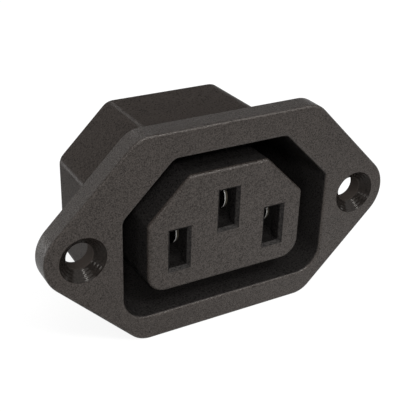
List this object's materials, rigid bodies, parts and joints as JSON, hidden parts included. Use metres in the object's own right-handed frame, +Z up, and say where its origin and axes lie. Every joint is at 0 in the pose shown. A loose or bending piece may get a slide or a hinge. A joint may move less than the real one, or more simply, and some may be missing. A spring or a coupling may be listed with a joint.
{
  "type": "panel power socket",
  "caption": "Screw-mounted power socket for a panel: hexagonal flange with countersunk holes, keyed recess, slotted nose, sprung contacts inside and terminal tabs behind.",
  "frame": {"origin": "midway between the two fixing holes, on the flange's back face", "axes": "+X along the flange from one fixing hole to the other, +Y into the panel, -Y towards the plug, +Z up, with the earth slot uppermost"},
  "size_m": [0.0496, 0.0276, 0.0284],
  "materials": {
    "housing_plastic": "fine moulded grain on the flange and nose face, smoother elsewhere",
    "cover_plastic": "smooth moulded",
    "contact_metal": "tinned, bright"
  },
  "bodies": {
    "root": {"housing": "housing_plastic", "rear_cover": "cover_plastic", "left_line_contact": "contact_metal", "earth_contact": "contact_metal", "right_line_contact": "contact_metal"}
  },
  "joints": []
}
